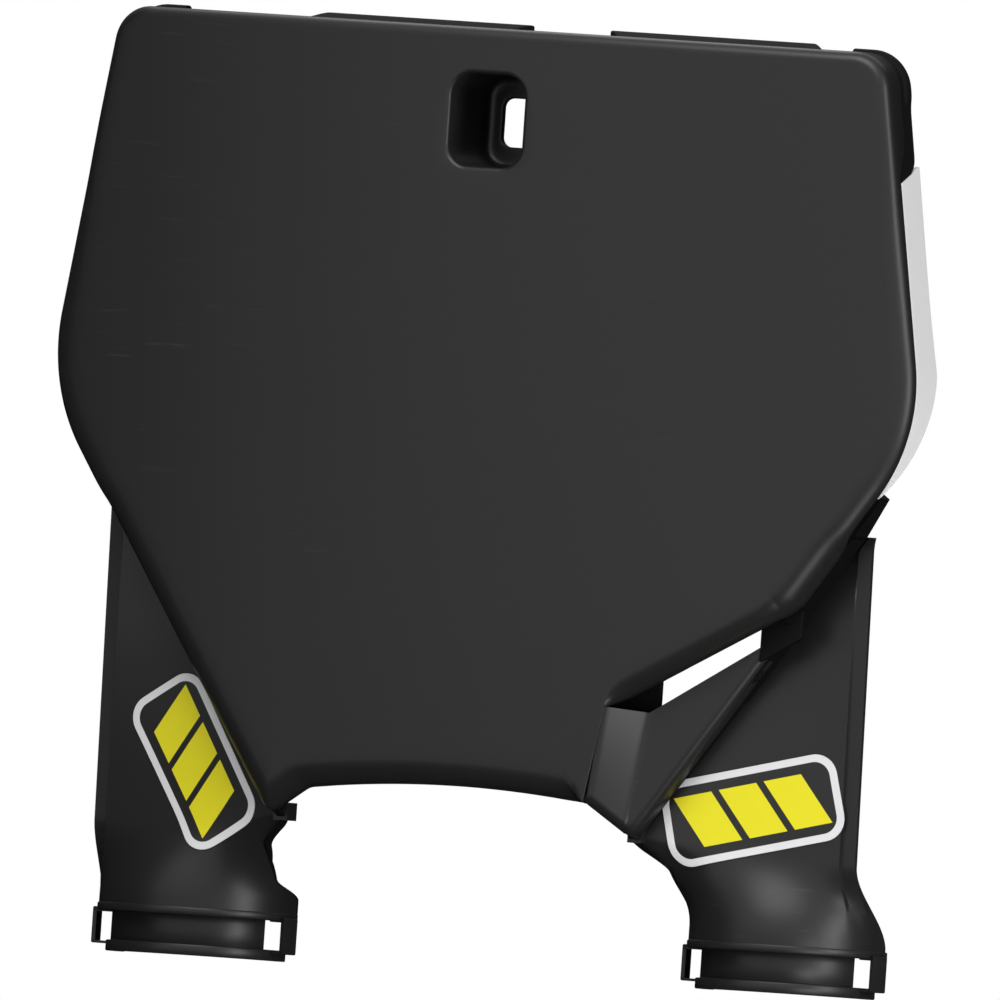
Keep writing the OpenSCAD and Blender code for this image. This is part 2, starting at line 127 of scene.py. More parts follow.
def unit(v):
    return v / np.linalg.norm(v, axis=-1, keepdims=True)


# Meshes from arrays ---------------------------------------------------------------------------

def grid_faces(rows, cols, start=0, around=False):
    """Quads between neighbours of a rows by cols grid; around joins the last column to the first."""
    r, c = np.meshgrid(np.arange(rows - 1), np.arange(cols if around else cols - 1), indexing="ij")
    n = (c + 1) % cols
    here, above = r * cols, (r + 1) * cols
    return start + np.stack([here + c, here + n, above + n, above + c], -1).reshape(-1, 4)


def skin(front, rear, around=False):
    """Closed wall between two matching grids: both grids plus the strips that join their rims."""
    m, n = front.shape[:2]
    k = rear.shape[0]
    o = m * n
    c = np.arange(n if around else n - 1)
    d = (c + 1) % n
    a, b = (m - 1) * n, o + (k - 1) * n
    faces = [grid_faces(m, n, 0, around), grid_faces(k, n, o, around)[:, ::-1],
             np.stack([d, c, o + c, o + d], 1), np.stack([a + c, a + d, b + d, b + c], 1)]
    if not around:
        r = np.arange(m - 1) * n
        e = r + n - 1
        faces += [np.stack([r, r + n, o + r + n, o + r], 1), np.stack([e + n, e, o + e, o + e + n], 1)]
    return np.vstack([front.reshape(-1, 3), rear.reshape(-1, 3)]), np.vstack(faces)


def swept(sections):
    """Closed bar through matching closed sections, its two ends capped by quads across the section."""
    m, n = sections.shape[:2]
    h = n // 2
    i = np.arange(h - 1)
    cap = np.stack([i, i + 1, n - 2 - i, n - 1 - i], 1)
    faces = np.vstack([grid_faces(m, n, 0, True), cap[:, ::-1], cap + (m - 1) * n])
    return sections.reshape(-1, 3), faces


def joined(parts):
    """Several vertex and face arrays as one pair, each wound so that its enclosed volume is positive."""
    verts, faces, base = [], [], 0
    for v, f in parts:
        t = np.vstack([f[:, [0, 1, 2]], f[:, [0, 2, 3]]])
        c = v.mean(0)
        if np.einsum("ij,ij->", v[t[:, 0]] - c, np.cross(v[t[:, 1]] - c, v[t[:, 2]] - c)) < 0:
            f = f[:, ::-1]
        verts.append(v)
        faces.append(f + base)
        base += len(v)
    return np.vstack(verts), np.vstack(faces)


def mirrored(parts):
    return [(v * (-1, 1, 1), f) for v, f in parts]


def piece(name, parts, material, edge=0.0, crease=38):
    """Mesh object in the row frame: millimetres from the face become metres from the fork line."""
    verts, faces = joined(parts)
    verts = (verts - (0, FORK_Y, 0)) * 0.001
    mesh = bpy.data.meshes.new(name)
    mesh.vertices.add(len(verts))
    mesh.vertices.foreach_set("co", verts.astype(np.float32).ravel())
    mesh.loops.add(faces.size)
    mesh.loops.foreach_set("vertex_index", faces.astype(np.int32).ravel())
    mesh.polygons.add(len(faces))
    mesh.polygons.foreach_set("loop_start", np.arange(0, faces.size, 4, dtype=np.int32))
    mesh.update(calc_edges=True)
    mesh.validate()
    mesh.shade_smooth()
    obj = bpy.data.objects.new(name, mesh)
    bpy.context.scene.collection.objects.link(obj)
    mesh.materials.append(material)
    if edge:
        bevel = obj.modifiers.new("edge", "BEVEL")
        bevel.width, bevel.segments, bevel.limit_method = edge * 0.001, 2, "ANGLE"
        bevel.angle_limit = math.radians(crease)
        bevel.use_clamp_overlap = True
        weighted = obj.modifiers.new("shading", "WEIGHTED_NORMAL")
        weighted.keep_sharp = True
    else:
        mesh.set_sharp_from_angle(angle=math.radians(crease))
    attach(obj, "root")
    return obj


# Outlines --------------------------------------------------------------------------------------

def outline(corners, d, step=2.4):
    """Closed outline through corners of x, z, radius and arc steps, moved inwards by d. A corner moves
    along its bisector and takes an arc, smaller by d where the outline bulges and larger where it is hollow.
    Straights carry points every few millimetres, as many on every inset, so insets match point by point."""
    c = np.array(corners, float)
    p = c[:, :2]
    u, v = unit(p - np.roll(p, 1, 0)), unit(np.roll(p, -1, 0) - p)
    nu, nv = np.stack([-u[:, 1], u[:, 0]], 1), np.stack([-v[:, 1], v[:, 0]], 1)
    side = np.where(u[:, 1] * v[:, 0] - u[:, 0] * v[:, 1] > 0, 1, -1)
    angle = np.arccos(np.clip((u * v).sum(1), -1, 1))

    def arcs(inset):
        q = p - inset * (nu + nv) / (1 + (nu * nv).sum(1))[:, None]
        r = np.where(side > 0, np.maximum(c[:, 2] - inset, 0.3), c[:, 2] + inset)
        hub = q - u * (r * np.tan(angle / 2))[:, None] - nu * (r * side)[:, None]
        out = []
        for i, steps in enumerate(c[:, 3].astype(int)):
            t = -side[i] * angle[i] * np.linspace(0, 1, steps + 1)
            w = nu[i] * side[i]
            x, z = w[0] * np.cos(t) - w[1] * np.sin(t), w[0] * np.sin(t) + w[1] * np.cos(t)
            out.append(hub[i] + r[i] * np.stack([x, z], 1))
        return out

    base, now = arcs(0.0), arcs(d)
    path = []
    for i, arc in enumerate(now):
        k = (i + 1) % len(now)
        fill = int(np.linalg.norm(base[k][0] - base[i][-1]) / step)
        path += [arc, arc[-1] + (now[k][0] - arc[-1]) * np.linspace(0, 1, fill + 2)[1:-1, None]]
    return np.vstack(path)


def rounded(angles, w, h, r):
    """Points where rays at the given angles from the middle leave a w by h rectangle, corner radius r: the
    ray meets the corner's circle where the root of a quadratic puts it, or the straight side before that."""
    dx, dz = np.cos(angles), np.sin(angles)
    ax, az = np.maximum(np.abs(dx), 1e-9), np.maximum(np.abs(dz), 1e-9)
    a, b = w / 2, h / 2
    cx, cz = a - r, b - r
    dot = ax * cx + az * cz
    t = dot + np.sqrt(np.maximum(dot ** 2 - cx ** 2 - cz ** 2 + r ** 2, 0))
    t = np.where(a / ax * az <= cz, a / ax, np.where(b / az * ax <= cx, b / az, t))
    return np.stack([t * dx, t * dz], 1)


# The board -------------------------------------------------------------------------------------
# Corners in x, z, radius and arc steps: the right side down to the step, a parabola as the arch, the left side up.
right_side = [(TOP_HALF, FACE_TOP, TOP_CORNER_R, 14), (WIDE_HALF, WIDE_Z, WIDE_CORNER_R, 26),
              (DUCT_OUT_X, DUCT_OUT_Z, 16, 10), (DUCT_IN_X, DUCT_IN_Z, 1.5, 6), (STEP_LOW_X, STEP_LOW_Z, 1.0, 4)]
arch = [(x, CROWN_Z - (CROWN_Z - ARCH_Z) * (x / ARCH_HALF) ** 2, 0, 0) for x in np.arange(40, -41, -5.0)]
left_side = [(-ARCH_HALF, ARCH_Z, 6, 8), (-LOW_HALF, LOW_Z, 2.5, 10),
             (-WIDE_HALF, WIDE_Z, WIDE_CORNER_R, 26), (-TOP_HALF, FACE_TOP, TOP_CORNER_R, 14)]
BOARD_CORNERS = right_side + arch + left_side


def near_line(points, a, b, reach):
    """Which points lie within reach of the straight from a to b."""
    a, b = np.array(a), np.array(b)
    t = np.clip(((points - a) @ (b - a)) / ((b - a) @ (b - a)), 0, 1)
    return np.linalg.norm(points - a - t[:, None] * (b - a), axis=1) < reach


def edge_sizes(edge):
    """Roll radius, roll depth and lip depth at each point of the outline. The radius grows on the way down by a
    cubic ease. Beside the side panels roll and lip are shallow, and over the duct and on the step they are
    small. Two passes of a mean of three neighbours soften the changes."""
    roll = TOP_ROLL_R + (ROLL_R - TOP_ROLL_R) * smooth((ROLL_GROWS_Z - edge[:, 1]) / ROLL_GROWTH)
    deep, sink = np.maximum(roll, ROLL_R) + LIP, roll.copy()
    beside = (np.abs(edge[:, 0]) > LOW_HALF) & (edge[:, 1] > PANEL_END_Z) & (edge[:, 1] < PANEL_TOP_Z + 6)
    deep[beside], sink[beside] = PANEL_START, np.minimum(roll[beside], PANEL_START - 0.6)
    over_duct = near_line(edge, (DUCT_OUT_X - 4, DUCT_OUT_Z - 2), (DUCT_IN_X + 2, DUCT_IN_Z + 1), 0.8)
    at_step = near_line(edge, (DUCT_IN_X, DUCT_IN_Z), (STEP_LOW_X, STEP_LOW_Z), 0.8)
    for where, radius in ((over_duct, DUCT_ROLL_R), (at_step, STEP_ROLL_R)):
        roll[where], sink[where], deep[where] = radius, radius, radius + LIP
    for _ in range(2):
        roll, sink, deep = ((np.roll(a, 1) + np.roll(a, -1) + a) / 3 for a in (roll, sink, deep))
    return roll[:, None], sink, deep


def board_shell():
    """Bowed face as rings blended from the mouth of the strap recess to the outline, then a quarter round
    roll and a straight lip; inwards from the mouth run the recess wall, its floor and the window. The rear
    skin follows one wall behind."""
    edge, inner = outline(BOARD_CORNERS, 0), outline(BOARD_CORNERS, ROLL_R)
    roll, sink, deep = edge_sizes(edge)
    spread = (inner - edge) / ROLL_R
    angles = np.arctan2(edge[:, 1] - RECESS_Z, edge[:, 0])
    middle = np.array([0, RECESS_Z])

    def at(xz, y):
        return np.column_stack([xz[:, 0], np.broadcast_to(y, len(xz)), xz[:, 1]])

    def recess(grow, r, y):
        return at(middle + rounded(angles, RECESS_W + 2 * grow, RECESS_H + 2 * grow, max(r + grow, 0.4)), y)

    def window(grow, y):
        return at(middle + rounded(angles, WINDOW_W + 2 * grow, WINDOW_W + 2 * grow, WINDOW_R + grow), y)

    def rings(start, end, shares, back=0.0):
        """Rings blended between two outlines, each point at the depth of the bowed face plus back."""
        return [at(xz, face_y(xz[:, 0]) + back) for xz in (start + (end - start) * k for k in shares)]

    quarter = np.radians(np.linspace(0, 90, 9))
    few = np.radians(np.linspace(0, 90, 5))
    # Window edge and recess floor
    front = [window(0, RECESS_DEPTH + WALL / 2)]
    front += [window(0.5 - 0.5 * math.cos(t), RECESS_DEPTH + 0.5 - 0.5 * math.sin(t)) for t in few]
    floor_in, floor_out = window(0.5, RECESS_DEPTH), recess(-FLOOR_R, RECESS_R, RECESS_DEPTH)
    front += [floor_in + (floor_out - floor_in) * k for k in (0.33, 0.66)]
    front += [recess(-FLOOR_R * (1 - math.sin(t)), RECESS_R, RECESS_DEPTH - FLOOR_R * (1 - math.cos(t))) for t in few]
    # Recess wall and its rounded mouth
    rim = recess(MOUTH_R, RECESS_R, 0)
    depth = face_y(rim[:, 0])
    wall_run = RECESS_DEPTH - FLOOR_R - MOUTH_R
    front += [recess(0, RECESS_R, depth + MOUTH_R + wall_run * k) for k in (0.75, 0.5, 0.25)]
    front += [recess(MOUTH_R * (1 - math.cos(t)), RECESS_R, depth + MOUTH_R * (1 - math.sin(t))) for t in few]
    # Face, roll and lip
    front += rings(rim[:, [0, 2]], edge + spread * roll, np.linspace(0, 1, 40)[1:])
    for t in quarter[1:]:
        xz = edge + spread * roll * (1 - math.sin(t))
        front.append(at(xz, face_y(xz[:, 0]) + sink * (1 - math.cos(t))))
    lip_y = face_y(edge[:, 0]) + deep
    front += [at(edge, lip_y - 0.4), at(edge + spread * 0.12, lip_y - 0.12), at(edge + spread * 0.4, lip_y)]

    # Rear skin, in the same order
    thin = np.maximum(roll - WALL, 0.4)
    corner, collar_r, mid_depth = 1.5, 1.2, 15
    rear = [window(0, RECESS_DEPTH + WALL / 2), window(0, RECESS_DEPTH + WALL - 0.4),
            window(0.4, RECESS_DEPTH + WALL)]
    rear += [recess(WALL - corner * (1 - math.sin(t)), RECESS_R, RECESS_DEPTH + WALL - corner * (1 - math.cos(t)))
             for t in few]
    rear += [recess(WALL, RECESS_R, mid_depth), recess(WALL, RECESS_R, depth + WALL + collar_r),
             recess(WALL + collar_r, RECESS_R, depth + WALL)]
    rear += rings(rear[-1][:, [0, 2]], edge + spread * (thin + WALL), np.linspace(0, 1, 26)[1:], WALL)
    rear_sink = np.minimum(thin[:, 0], np.maximum(sink - WALL, 0.3))
    for t in few[1:]:
        xz = edge + spread * (WALL + thin * (1 - math.sin(t)))
        rear.append(at(xz, face_y(xz[:, 0]) + WALL + rear_sink * (1 - math.cos(t))))
    rear += [at(edge + spread * WALL, lip_y - 0.4), at(edge + spread * (WALL - 0.4), lip_y)]
    return [skin(np.array(front), np.array(rear), True)]


def shelf():
    """Flat shelf behind the top edge, its rear edge running forward towards the ends, with two lips that rise
    by a cubic ease along the rear edge, one on each side of the notch."""
    top, flat_y = FACE_TOP - 0.15, SHELF_DEPTH - FLARE_RUN
    x = np.linspace(-SHELF_END, SHELF_END, 61)
    rear_y = np.interp(np.abs(x), [0, SHELF_HALF + 3, SHELF_END], [flat_y, flat_y, SIDE_DEPTH])
    v = np.linspace(0, 1, 9)[:, None]
    y = ROLL_R + face_y(x) - 1 + (rear_y - ROLL_R - face_y(x) + 1) * v
    slab = np.stack([np.broadcast_to(x, y.shape), y, np.full(y.shape, top)], -1)
    parts = [skin(slab, slab - (0, 0, WALL))]
    u = np.linspace(0, 1, 31)
    t = np.linspace(-0.4, 1, 11)[:, None]
    for s in (-1, 1):
        near, far = NOTCH_HALF, SHELF_HALF - FLARE_RUN / 2
        shift = FLARE_RUN * (1 - np.clip(t, 0, 1)) * s
        lx = s * near + s * (far - near) * u + shift
        ly = np.broadcast_to(flat_y + FLARE_RUN * t, lx.shape)
        lz = top + FLARE_RISE * smooth((t + 0.1) / 1.1) - 0.02 + 0 * lx
        lip = np.stack([lx, ly, lz], -1)
        parts.append(skin(lip, lip - (0, 0, WALL - 0.1)))
    return parts


def upper_wall():
    """Side wall behind the right top corner: the outline carried back, with a half round bead along its
    rear edge round the corner and a lower end that slopes forward."""
    arc_steps, lead_run = 16, 6.5
    corners = [(TOP_HALF, FACE_TOP, TOP_CORNER_R, arc_steps), (WIDE_HALF, WIDE_Z, WIDE_CORNER_R, 6),
               (0, LOW_Z, 0, 0), (-TOP_HALF, FACE_TOP, 0, 0)]

    def path(d):
        """The end of the top edge, the corner arc, then the side line down to below the cut."""
        arc = outline(corners, d)[:arc_steps + 1]
        lead = np.linspace(arc[0][0] - lead_run, arc[0][0], 5)[:-1]
        z = np.linspace(arc[-1][1], SIDE_CUT_Z - WALL_END_RUN, 22)[1:]
        side = np.column_stack([side_x(z) - d * math.hypot(1, SIDE_SLOPE), z])
        return np.vstack([np.column_stack([lead, np.full(4, FACE_TOP - d)]), arc, side])

    base = path(0.15)
    out = unit(path(0) - path(1))
    y0 = float(face_y(TOP_HALF)) + ROLL_R - 1
    rear = np.interp(base[:, 1], [SIDE_CUT_Z - WALL_END_RUN, SIDE_CUT_Z - 1, SIDE_CUT_Z + 1],
                     [y0 + 1.2, SIDE_DEPTH - 0.7, SIDE_DEPTH])
    v = np.linspace(0, 1, 25)[:, None]
    y = y0 + (rear - y0) * v
    bead_y = SIDE_DEPTH - BEAD_HALF + 0.1
    round_corner = smooth((base[:, 1] - BEAD_LOW_Z) / 6)
    lift = BEAD_RISE * round_corner * np.sqrt(np.clip(1 - ((y - bead_y) / BEAD_HALF) ** 2, 0, 1))
    xz = base[None] + out[None] * lift[..., None]
    front = np.stack([xz[..., 0], y, xz[..., 1]], -1)
    inside = path(WALL)
    xz = np.broadcast_to(inside, y.shape + (2,))
    return [skin(front, np.stack([xz[..., 0], y, xz[..., 1]], -1))]


# Legs ------------------------------------------------------------------------------------------

def leg_in(z):
    """Half width where the leg panel starts: the low corner, then the board's lower line."""
    return np.where(z < LOW_Z, LOW_HALF, low_x(z)) - 0.15


def panel_y(x, z):
    """Depth of the leg panel: ruled between its inner line, which leans back, and its outer line."""
    y0 = np.minimum(LEG_Y + PANEL_LEAN * (z - LOW_Z), LEG_OUT_Y - 1)
    y1 = LEG_OUT_Y - OUTER_LEAN * (z - 33)
    return y0 + (y1 - y0) * np.minimum((x - leg_in(z)) / np.maximum(LEG_OUT - leg_in(z), 4), 1)


def foot_share(i, z):
    """1 where the leg is the half round foot, 0 where it is flat; it ends higher at the inner edge, column 0,
    than at the outer edge, column 12."""
    low = FOOT_IN_Z + (FOOT_OUT_Z - FOOT_IN_Z) * i / 12
    high = FLAT_IN_Z + (FLAT_OUT_Z - FLAT_IN_Z) * i / 12
    return 1 - smooth((z - low) / (high - low))


def leg_point(i, x, y, z):
    """Blend of a half round foot about the fork tube below and the flat panel above, by height."""
    k = foot_share(i, z)
    a = np.radians(1 + 178 / 12 * i)
    round_x, round_y = FORK_HALF - LEG_R * np.cos(a), FORK_Y - LEG_R * np.sin(a)
    return np.stack([k * round_x + (1 - k) * x, k * round_y + (1 - k) * y, z + 0 * x], -1)


def on_leg(x, z):
    """Depth of the blended leg front at x, z: the column is found by halving its range until it meets x."""
    low, high = np.zeros_like(x), np.full_like(x, 10.0)
    x0, x2 = leg_in(z), np.maximum(LEG_OUT - BORDER_W, leg_in(z) + 0.8)
    for _ in range(26):
        i = (low + high) / 2
        flat = x0 + (x2 - x0) * i / 10
        point = leg_point(i, flat, panel_y(flat, z), z)
        low, high = np.where(point[..., 0] < x, i, low), np.where(point[..., 0] < x, high, i)
    return point[..., 1]


def plate_y(x, z):
    """Depth of the corner plate's plane below the duct mouth: the depth at the low end of its fold plus a
    slope across times the way across and a slope up times the way up."""
    across, upwards = 0.01622, 0.11579
    return 7.5 + across * (x - FOLD_LOW_X) + upwards * (z - FOLD_LOW_Z)


def leg(side):
    """Leg of constant thickness in two parts: the side wall from the board, then the panel with its stepped
    border. On the right, below the duct mouth, the side wall starts behind the corner plate. Every row holds
    one height, and the rear skin stands one wall behind along the normal of the row's curve."""
    in_foot, above = np.linspace(RIM_Z + 0.3, FLAT_IN_Z + 2, 56), np.linspace(FLAT_IN_Z + 4, LEG_TOP, 50)
    z = np.concatenate([in_foot, above])[:, None]
    x0 = leg_in(z)
    x2 = np.maximum(LEG_OUT - BORDER_W, x0 + 0.6)
    x1 = np.maximum(LEG_OUT, x2 + 0.9)
    # The inner edge is cut back in a hollow between the low corner and the foot.
    hollow = 1.3
    begin = hollow * smooth((FLAT_IN_Z - 2 - z) / 9) * smooth((z - FOOT_IN_Z + 1) / 6)
    x_begin = x0 + (x2 - x0) * begin / 10
    first = leg_point(begin, x_begin, panel_y(x_begin, z), z)
    start = behind_lip(x0)
    if side > 0:
        start = np.where(z < DUCT_OUT_Z - 4, np.maximum(start, plate_y(low_x(z), z) + 2.4), start)
    rise = 1.2 + (np.maximum(panel_y(x0, z) - start, 0.6) - 1.2) * smooth((z - LOW_Z + 3) / 5)
    angle = math.pi * foot_share(0, z)
    toward = np.stack([np.sin(angle), np.cos(angle), 0 * angle], -1)
    wall_part = [first - rise[..., None] * toward * k for k in (1, 0.75, 0.5, 0.25)]
    i = begin + (10 - begin) * np.linspace(0, 1, 41)
    x = x0 + (x2 - x0) * i / 10
    panel = leg_point(i, x, panel_y(x, z), z)
    stepped = panel_y(x1, z) + BORDER_STEP
    border = [leg_point(10.25, x2 + 0.2, stepped - 0.2, z), leg_point(10.7, (x1 + x2) / 2, stepped - 0.1, z),
              leg_point(11.2, x1, stepped, z), leg_point(12, x1 + 0.2, stepped + BORDER_RETURN, z)]
    front = np.concatenate(wall_part + [panel] + border, axis=1)
    along = unit(np.gradient(front[..., :2], axis=1))
    normal = np.stack([along[..., 1], -along[..., 0], 0 * along[..., 0]], -1)
    rear = front - WALL * normal
    first_panel = len(wall_part)
    side_wall = skin(front[:, :first_panel + 1], rear[:, :first_panel + 1])
    return [side_wall, wall_above_leg()], [skin(front[:, first_panel:], rear[:, first_panel:])]


def behind_lip(x):
    """Depth half way down the board's lip at x."""
    return ROLL_R + face_y(x) + LIP / 2


def wall_above_leg():
    """Short wall behind the board's lower line above the leg, from the lip back to a rear edge that comes
    forward evenly on the way up."""
    z = np.linspace(LEG_TOP - 1, LEG_WALL_TOP, 9)[:, None]
    share = (z - LEG_TOP + 1) / (LEG_WALL_TOP - LEG_TOP + 1)
    start = behind_lip(low_x(z))
    y = start + (LEG_WALL_REAR - LEG_WALL_TAPER * share - start) * np.linspace(0, 1, 6)
    outside = np.stack([low_x(z) - 0.15 + 0 * y, y, z + 0 * y], -1)
    return skin(outside, outside - (2.0, 0, -1.4))


def turned(profile, a0, a1, r=0.35, steps=64):
    """Closed profile of radius and height, carried round the fork axis between two angles. Each corner becomes
    three points on a blend from r before it to r after it, the middle one pushed out towards the corner."""
    p = np.array(profile, float)
    u, v = unit(p - np.roll(p, 1, 0)), unit(np.roll(p, -1, 0) - p)
    bend = [p - u * r * (1 - k) + v * r * k + (u - v) * r * 0.55 * k * (1 - k) for k in (0, 0.5, 1)]
    loop = np.stack(bend, 1).reshape(-1, 2)
    a = np.radians(np.linspace(a0, a1, steps))[:, None]
    x, y = FORK_HALF + loop[:, 0] * np.cos(a), FORK_Y + loop[:, 0] * np.sin(a)
    return swept(np.stack([x, y, loop[:, 1] + 0 * a], -1))


def box_profile(r0, r1, z0, z1):
    return [(r0, z0), (r1, z0), (r1, z1), (r0, z1)]


def collar():
    """Half round collar that clamps the fork tube: bottom lip, strap groove, foot rim, and near each end a loop
    for the strap, made of an outer bar and two short arms."""
    parts = [turned(box_profile(BORE_R, LIP_R, 0, LIP_H), -180, 0),
             turned(box_profile(BORE_R, GROOVE_R, LIP_H - 0.4, RIM_Z + 0.4), -160, -20),
             turned(box_profile(BORE_R, LEG_R + 0.4, RIM_Z, RIM_Z + RIM_T), -180, 0)]
    low, high, inner, outer = LIP_H - 1.2, RIM_Z + 1, LIP_R - 1, LOOP_R + LOOP_T
    for a in LOOP_ANGLES:
        b = a + LOOP_SPAN
        parts += [turned(box_profile(LOOP_R, outer, low, high), a, b, 0.4, 14),
                  turned(box_profile(inner, outer - 0.3, low, LIP_H - 0.4), a, b, 0.3, 14),
                  turned(box_profile(inner, outer - 0.3, RIM_Z - 0.4, high), a, b, 0.3, 14)]
    return parts


def flat_block(corners, y0, y1, div=2):
    """Four-sided outline in x and z, filled by blending its corners and carried from depth y0 to depth y1."""
    a, b, c, d = [np.array(k, float) for k in corners]
    u, v = (k[..., None] for k in np.meshgrid(np.linspace(0, 1, div), np.linspace(0, 1, div), indexing="ij"))
    xz = a * ((1 - u) * (1 - v)) + b * (u * (1 - v)) + c * (u * v) + d * ((1 - u) * v)

    def grid(y):
        return np.stack([xz[..., 0], np.full(xz.shape[:2], y), xz[..., 1]], -1)
    return skin(grid(y0), grid(y1))


def tab():
    """Small tab on the inner edge of a leg, just behind the low corner of the board."""
    x, z = LOW_HALF - 3.4, LOW_Z - 2
    return [flat_block([(x, z), (x + 4.6, z), (x + 4.6, z + 5.5), (x, z + 5.5)], LEG_Y - 3, LEG_Y + 4)]


# Duct in the right corner ----------------------------------------------------------------------

def duct_plate():
    """Corner plate below the duct mouth. Three lines, the step, the fold and the outer line, are joined by
    straight blends: a slanted facet falls back from the step to the fold, and a flat triangle runs on. The
    lower and outer edges roll back by quarter rounds, and the rear skin stands behind along the normals."""
    down, out = np.array([-0.586, -0.810]), np.array([0.8240, -0.5666])
    step_top, step_low = np.array([DUCT_IN_X, DUCT_IN_Z]), np.array([STEP_LOW_X, STEP_LOW_Z]) - down * PLATE_ROLL_R
    fold_top = np.array([FOLD_TOP_X, DUCT_IN_Z - 1])
    fold_low = np.array([FOLD_LOW_X, FOLD_LOW_Z]) - (down + out) * PLATE_ROLL_R * 0.8
    far_top = np.array([float(low_x(DUCT_TOP_Z)) - 0.2, DUCT_TOP_Z]) - out * PLATE_ROLL_R
    far_low = fold_low + (0.25, 0.1)
    v = np.linspace(0, 1, 34)[:, None]
    ends = (step_low, step_top), (fold_low, fold_top), (far_low, far_top)
    step, fold, far = (low + (top - low) * v for low, top in ends)
    step_y = face_y(step[:, 0])
    fold_y, far_y = plate_y(fold[:, 0], fold[:, 1]), plate_y(far[:, 0], far[:, 1])
    columns = [(step - (0.8, 0), step_y + 0.45)]
    columns += [(step + (fold - step) * k, step_y + (fold_y - step_y) * k) for k in np.linspace(0, 1, 14)]
    columns += [(fold + (far - fold) * k, fold_y + (far_y - fold_y) * k) for k in np.linspace(0, 1, 24)[1:]]
    xz, y = (np.stack(part, 1) for part in zip(*columns))
    # The fold is softened by a mean of neighbours, the middle one counted twice.
    y[:, 1:-1] = (y[:, :-2] + 2 * y[:, 1:-1] + y[:, 2:]) / 4
    front = np.stack([xz[..., 0], y, xz[..., 1]], -1)

    def rolled(line, way):
        """Copies of a line carried outwards and back round a quarter circle, then one straight back."""
        r = PLATE_ROLL_R
        copies = [line + np.array([way[0] * r * math.sin(t), r * (1 - math.cos(t)), way[1] * r * math.sin(t)])
                  for t in np.radians(np.linspace(0, 90, 8))[1:]]
        return copies + [copies[-1] + np.array([0, PLATE_LIP, 0])]

    front = np.concatenate(rolled(front[:1], down)[::-1] + [front], 0)
    front = np.concatenate([front] + rolled(front[:, -1:], out), 1)
    normal = np.cross(np.gradient(front, axis=1), np.gradient(front, axis=0))
    flat = np.linalg.norm(normal, axis=-1, keepdims=True) < 1e-9
    normal = unit(np.where(flat, (0.0, -1.0, 0.0), normal))
    normal = np.where(normal[..., 1:2] > 0, -normal, normal)
    return [skin(front, front - normal * PLATE_T)]


def duct_walls():
    """Inside of the duct: a roof that rises evenly to the rear over the mouth, walls that close its inner and
    outer ends, a low sill behind the top edge of the corner plate, and a strip behind the step."""
    mouth_in, mouth_out = np.array([DUCT_IN_X - 0.5, DUCT_IN_Z - 0.4]), np.array([DUCT_OUT_X - 0.6, DUCT_OUT_Z])
    lift = unit(np.array([mouth_in[1] - mouth_out[1], mouth_out[0] - mouth_in[0]]))
    u, v = np.meshgrid(np.linspace(0, 1, 16), np.linspace(0, 1, 6), indexing="ij")
    roof_gap, roof_rise, roof_t = 0.5, 6.5, 2
    front_y = face_y(mouth_in[0] + (mouth_out[0] - mouth_in[0]) * u) + 6.0
    y = front_y + (SIDE_DEPTH - 4 - front_y) * v
    under = mouth_in + (mouth_out - mouth_in) * u[..., None] + lift * (roof_gap + roof_rise * v[..., None])
    below = np.stack([under[..., 0], y, under[..., 1]], -1)
    roof = skin(below, below + (lift[0] * roof_t, 0, lift[1] * roof_t))

    x0, x1, low = DUCT_IN_X - 7.4, DUCT_IN_X + 12, DUCT_IN_Z - 18
    inner_end = flat_block([(x0, DUCT_IN_Z + 3), (x0, low), (x1, low), (x1, DUCT_IN_Z + 10)],
                           DUCT_END_Y, DUCT_END_Y + WALL, 4)
    outer_end = flat_block([(MOUTH_END_X + 0.3, 101), (112, 109), (112, 118), (MOUTH_END_X + 0.3, 113.5)],
                           DUCT_END_Y - 0.4, DUCT_END_Y - 0.4 + WALL, 4)
    behind_step = flat_block([(50.4, 83), (54.6, 83), (53.2, 56.5), (47.6, 56.5)], 4.3, 5.9, 4)

    t = np.linspace(0, 1, 16)
    sill_run, sill_low = MOUTH_END_X - FOLD_TOP_X, DUCT_IN_Z - 1
    slope = (DUCT_TOP_Z - sill_low) / (float(low_x(DUCT_TOP_Z)) - 0.2 - FOLD_TOP_X)
    top_x, top_z = FOLD_TOP_X + sill_run * t, sill_low + slope * sill_run * t
    sill_y = plate_y(top_x, top_z) + 2.4
    rows = np.array([np.stack([top_x, sill_y, top_z + k], -1) for k in (-6, -3, 0, 0.6)])
    sill = skin(rows, rows + (0, 2.0, 0))
    return [roof, inner_end, outer_end, sill, behind_step]


# Film and side panels --------------------------------------------------------------------------

def film(cx, cz, angle, length):
    """Film lying on the leg panel: a grid along its length, turned by the angle, whose half width follows the
    rounded ends as a circle of the corner radius does."""
    r = FILM_R
    end = (length / 2 - r) + r * np.sin(np.linspace(0, math.pi / 2, 9))
    u = np.concatenate([-end[::-1], np.linspace(-end[0], end[0], 26)[1:-1], end])
    over = np.clip((np.abs(u) - (length / 2 - r)) / r, 0, 1)
    half = FILM_W / 2 - r + r * np.sqrt(1 - over ** 2)
    t = np.linspace(-1, 1, 19)[:, None]
    v = half * t
    a = math.radians(angle)
    x, z = cx + u * math.cos(a) - v * math.sin(a), cz + u * math.sin(a) + v * math.cos(a)
    y = on_leg(x, z)
    return [skin(np.stack([x, y - FILM_T, z], -1), np.stack([x, y - 0.02, z], -1))]


